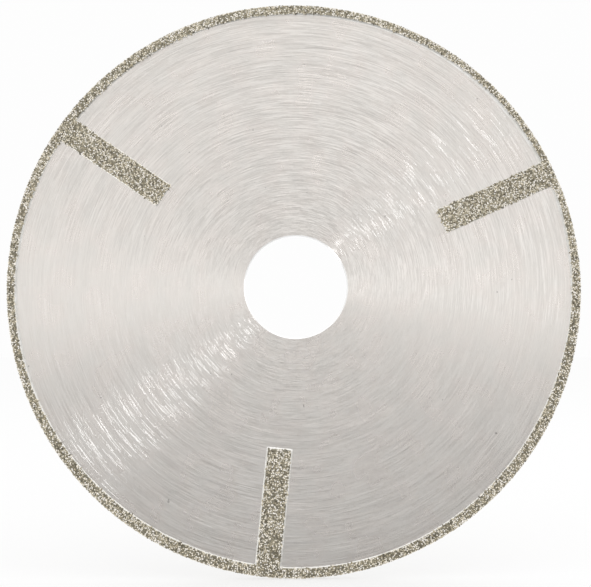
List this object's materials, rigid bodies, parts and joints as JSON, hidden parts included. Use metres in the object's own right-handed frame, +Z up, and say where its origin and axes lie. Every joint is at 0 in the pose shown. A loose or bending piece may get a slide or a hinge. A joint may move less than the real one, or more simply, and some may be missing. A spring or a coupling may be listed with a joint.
{
  "type": "electroplated diamond grinding wheel",
  "caption": "Thin round steel grinding wheel with a diamond-coated rim, straight radial diamond strips on both faces and a plain round centre bore.",
  "frame": {"origin": "centre of the bore, halfway through the blank's thickness", "axes": "+Y along the wheel's axis, from the front face to the back face; +Z up; strip angles are measured anticlockwise from +X as seen from the front"},
  "size_m": [0.125, 0.0024, 0.125],
  "materials": {
    "blank_steel": "satin",
    "nickel_bond": "satin",
    "diamond_grit": "gloss"
  },
  "bodies": {
    "root": {"steel_blank": "blank_steel", "rim_bond": "nickel_bond", "rim_front_grit": "diamond_grit", "rim_edge_grit": "diamond_grit", "rim_back_grit": "diamond_grit", "front_strip_bond_1": "nickel_bond", "front_strip_bond_2": "nickel_bond", "front_strip_bond_3": "nickel_bond", "front_strip_grit_1": "diamond_grit", "front_strip_grit_2": "diamond_grit", "front_strip_grit_3": "diamond_grit", "back_strip_bond_1": "nickel_bond", "back_strip_bond_2": "nickel_bond", "back_strip_bond_3": "nickel_bond", "back_strip_grit_1": "diamond_grit", "back_strip_grit_2": "diamond_grit", "back_strip_grit_3": "diamond_grit"}
  },
  "joints": []
}
